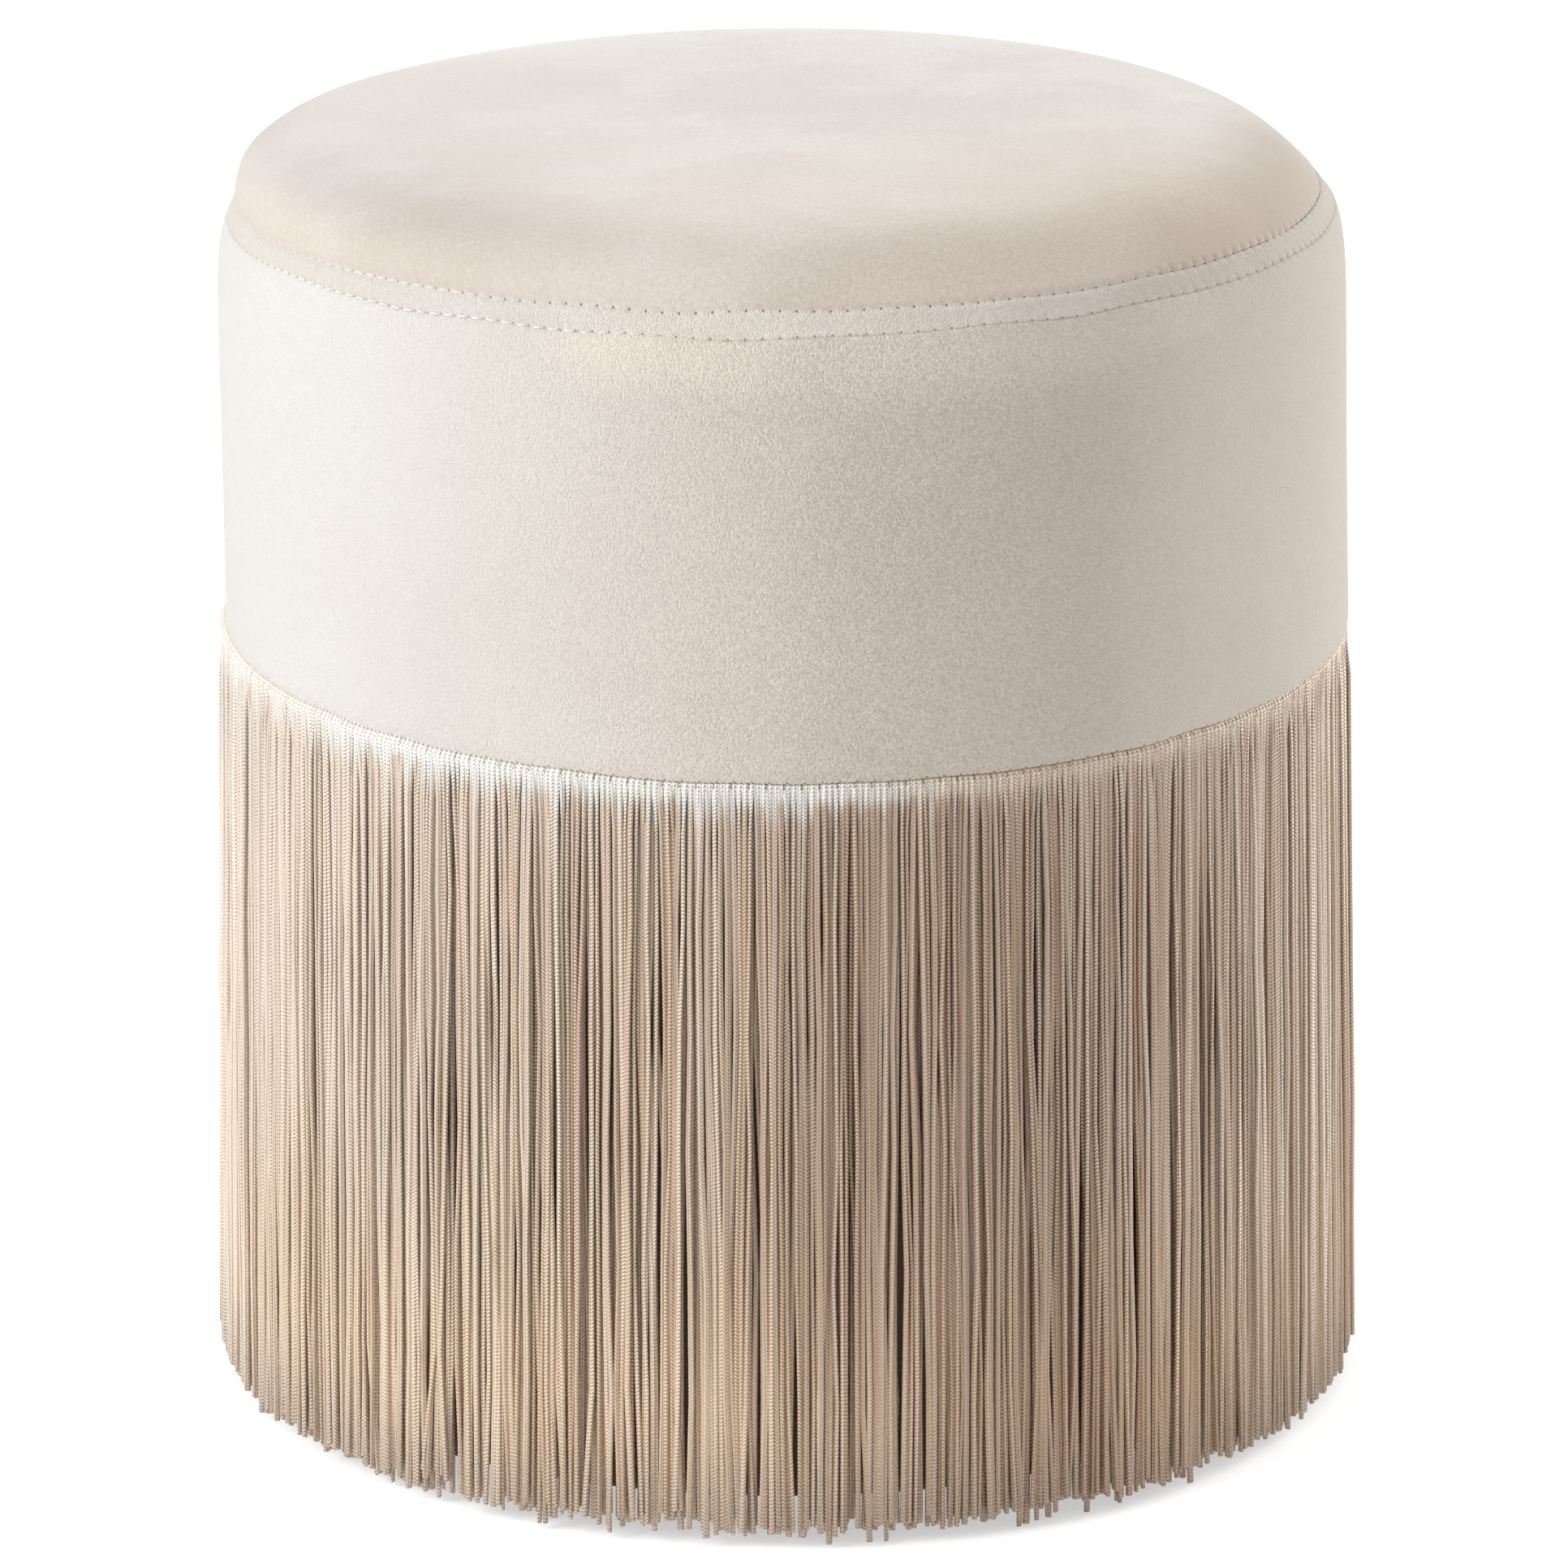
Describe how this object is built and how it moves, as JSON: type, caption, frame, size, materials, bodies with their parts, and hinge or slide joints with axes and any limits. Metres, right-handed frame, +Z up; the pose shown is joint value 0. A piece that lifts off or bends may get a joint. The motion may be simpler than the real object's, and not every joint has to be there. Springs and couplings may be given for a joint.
{
  "type": "tuffet",
  "caption": "Round tuffet: a crowned velvet seat on an upholstered drum, with a long fringe of cords round its lower half and low glide feet.",
  "frame": {"origin": "on the floor under the drum's axis, at the middle of the four feet's undersides", "axes": "+Z up along the axis of the drum, -Y towards the front, +X to the right when the front is faced"},
  "size_m": [0.3568, 0.3568, 0.4],
  "materials": {
    "velvet": "short-pile cream velvet, matt with a soft nap",
    "fringe_cord": "champagne chainette cord with a soft silky sheen",
    "lining_cloth": "plain brown woven cloth, matt",
    "black_cloth": "black nonwoven, matt",
    "foam": "pale yellow polyurethane foam, matt",
    "plywood": "raw sanded plywood",
    "softwood": "raw planed pine",
    "hardboard": "raw brown hardboard",
    "black_plastic": "moulded black polypropylene, satin",
    "zinc_steel": "bright zinc-plated steel"
  },
  "bodies": {
    "root": {"base_board": "plywood", "top_board": "plywood", "post_1": "softwood", "post_2": "softwood", "post_3": "softwood", "post_4": "softwood", "post_screw_lower_1": "zinc_steel", "post_screw_lower_2": "zinc_steel", "post_screw_lower_3": "zinc_steel", "post_screw_lower_4": "zinc_steel", "post_screw_upper_1": "zinc_steel", "post_screw_upper_2": "zinc_steel", "post_screw_upper_3": "zinc_steel", "post_screw_upper_4": "zinc_steel", "drum_wall": "hardboard", "seat_foam": "foam", "side_foam": "foam", "seat_cover": "velvet", "side_cover": "velvet", "lower_lining": "lining_cloth", "fringe_front": "fringe_cord", "fringe_right": "fringe_cord", "fringe_back": "fringe_cord", "fringe_left": "fringe_cord", "dust_cover": "black_cloth", "foot_1": "black_plastic", "foot_2": "black_plastic", "foot_3": "black_plastic", "foot_4": "black_plastic", "foot_screw_1": "zinc_steel", "foot_screw_2": "zinc_steel", "foot_screw_3": "zinc_steel", "foot_screw_4": "zinc_steel", "staple_1": "zinc_steel", "staple_2": "zinc_steel", "staple_3": "zinc_steel", "staple_4": "zinc_steel", "staple_5": "zinc_steel", "staple_6": "zinc_steel", "staple_7": "zinc_steel", "staple_8": "zinc_steel"}
  },
  "joints": []
}
